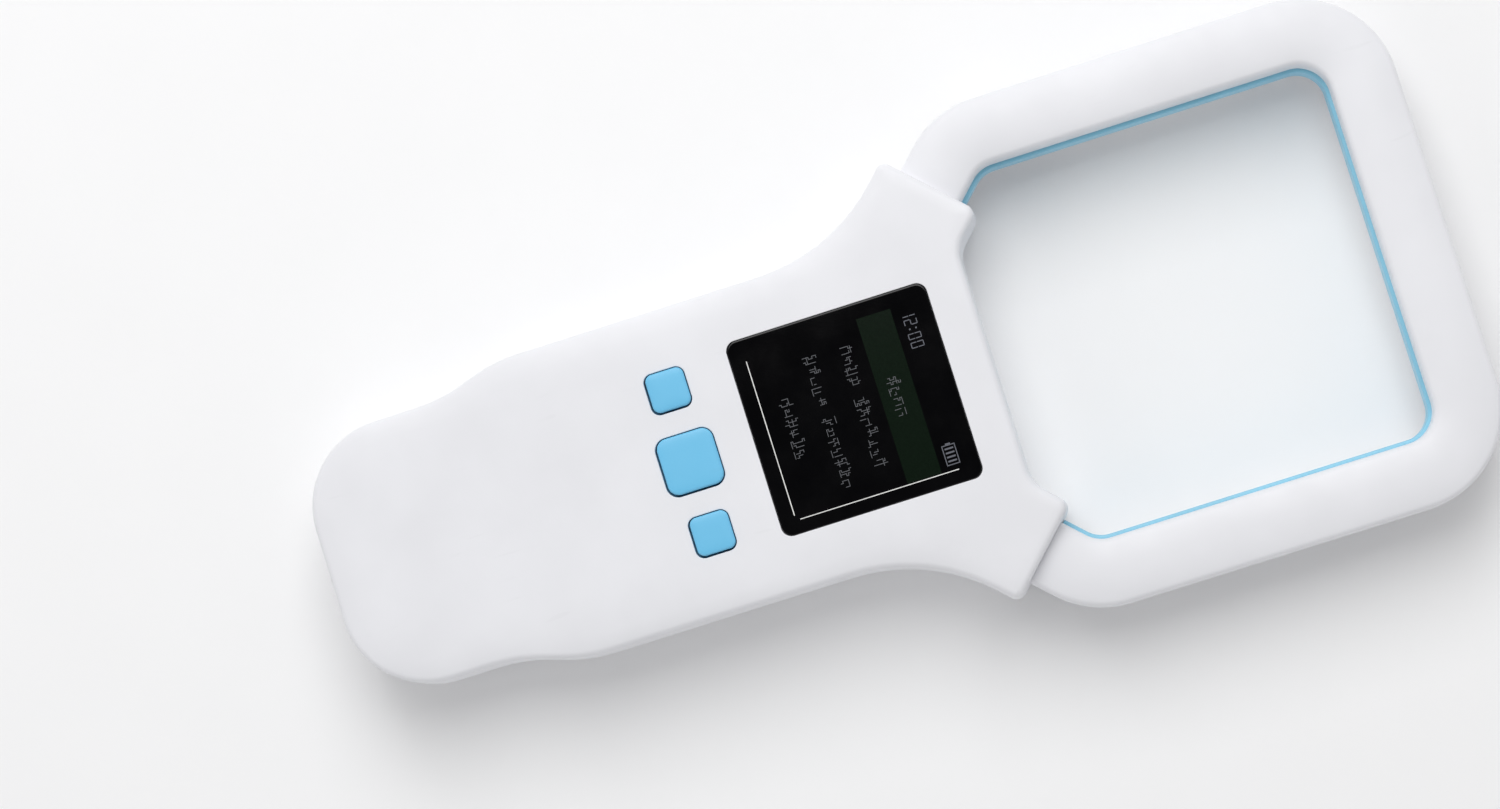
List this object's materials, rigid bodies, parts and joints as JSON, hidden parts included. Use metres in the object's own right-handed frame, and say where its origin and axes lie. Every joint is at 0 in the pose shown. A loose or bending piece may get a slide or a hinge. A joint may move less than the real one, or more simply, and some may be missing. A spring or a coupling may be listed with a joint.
{
  "type": "microchip scanner",
  "caption": "Hand-held pet microchip scanner: a flat handle with a square screen and three keys, and a rounded rectangular antenna loop on two short arms.",
  "frame": {"origin": "under the middle of the whole object, on the flat rear face that it rests on", "axes": "+Z out of the front face with the screen and keys, +Y from the handle towards the antenna loop, +X to the right seen from the front"},
  "size_m": [0.0834, 0.184, 0.0205],
  "materials": {
    "white_shell": "satin moulded white",
    "rear_shell": "satin moulded pale grey-white",
    "blue_trim": "satin pale blue",
    "blue_key": "satin light blue",
    "window_glass": "polished black-printed window",
    "adhesive": "black tape",
    "foam": "closed-cell foam",
    "lcd": "dark screen",
    "frame_plastic": "moulded light grey",
    "flex_film": "amber polyimide film",
    "black_plastic": "black moulded",
    "switch_body": "dark grey moulded",
    "plunger": "black moulded",
    "spring_steel": "bright sheet",
    "board": "green solder mask",
    "steel": "nickel plated",
    "ceramic": "tan ceramic",
    "copper_wire": "enamelled copper",
    "natural_nylon": "natural nylon",
    "lead_red": "insulated lead",
    "battery_wrap": "foil pouch"
  },
  "bodies": {
    "case": {"front_shell": "white_shell", "loop_front_shell": "white_shell", "rear_shell": "rear_shell", "loop_rear_shell": "rear_shell", "loop_inner_trim": "blue_trim", "display_window": "window_glass", "window_adhesive": "adhesive", "display_foam": "foam", "battery_pad": "foam", "display_panel": "lcd", "display_frame": "frame_plastic", "display_ribbon": "flex_film", "ribbon_connector": "black_plastic", "processor_chip": "black_plastic", "reader_chip": "black_plastic", "charger_chip": "black_plastic", "power_inductor": "black_plastic", "buzzer": "black_plastic", "socket_tongue": "black_plastic", "left_switch_base": "switch_body", "middle_switch_base": "switch_body", "right_switch_base": "switch_body", "left_snap_dome": "spring_steel", "middle_snap_dome": "spring_steel", "right_snap_dome": "spring_steel", "main_board": "board", "crystal": "steel", "charging_socket": "steel", "board_screws": "steel", "case_screws": "steel", "tuning_capacitors": "ceramic", "antenna_coil": "copper_wire", "coil_former": "natural_nylon", "coil_plug": "natural_nylon", "coil_header": "natural_nylon", "battery_plug": "natural_nylon", "battery_header": "natural_nylon", "coil_leads": "lead_red", "battery_leads": "lead_red", "battery_cell": "battery_wrap"},
    "left_key": {"left_key_cap": "blue_key", "left_switch_plunger": "plunger"},
    "middle_key": {"middle_key_cap": "blue_key", "middle_switch_plunger": "plunger"},
    "right_key": {"right_key_cap": "blue_key", "right_switch_plunger": "plunger"}
  },
  "joints": [
    {"name": "left_key_press", "type": "slide", "parent": "case", "child": "left_key", "axis": [0, 0, -1], "range_m": [0, 0.0005], "stiffness_N_per_m": 800, "springref_m": -0.001, "deforming": ["left_snap_dome"]},
    {"name": "middle_key_press", "type": "slide", "parent": "case", "child": "middle_key", "axis": [0, 0, -1], "range_m": [0, 0.0005], "stiffness_N_per_m": 800, "springref_m": -0.001, "deforming": ["middle_snap_dome"]},
    {"name": "right_key_press", "type": "slide", "parent": "case", "child": "right_key", "axis": [0, 0, -1], "range_m": [0, 0.0005], "stiffness_N_per_m": 800, "springref_m": -0.001, "deforming": ["right_snap_dome"]}
  ]
}
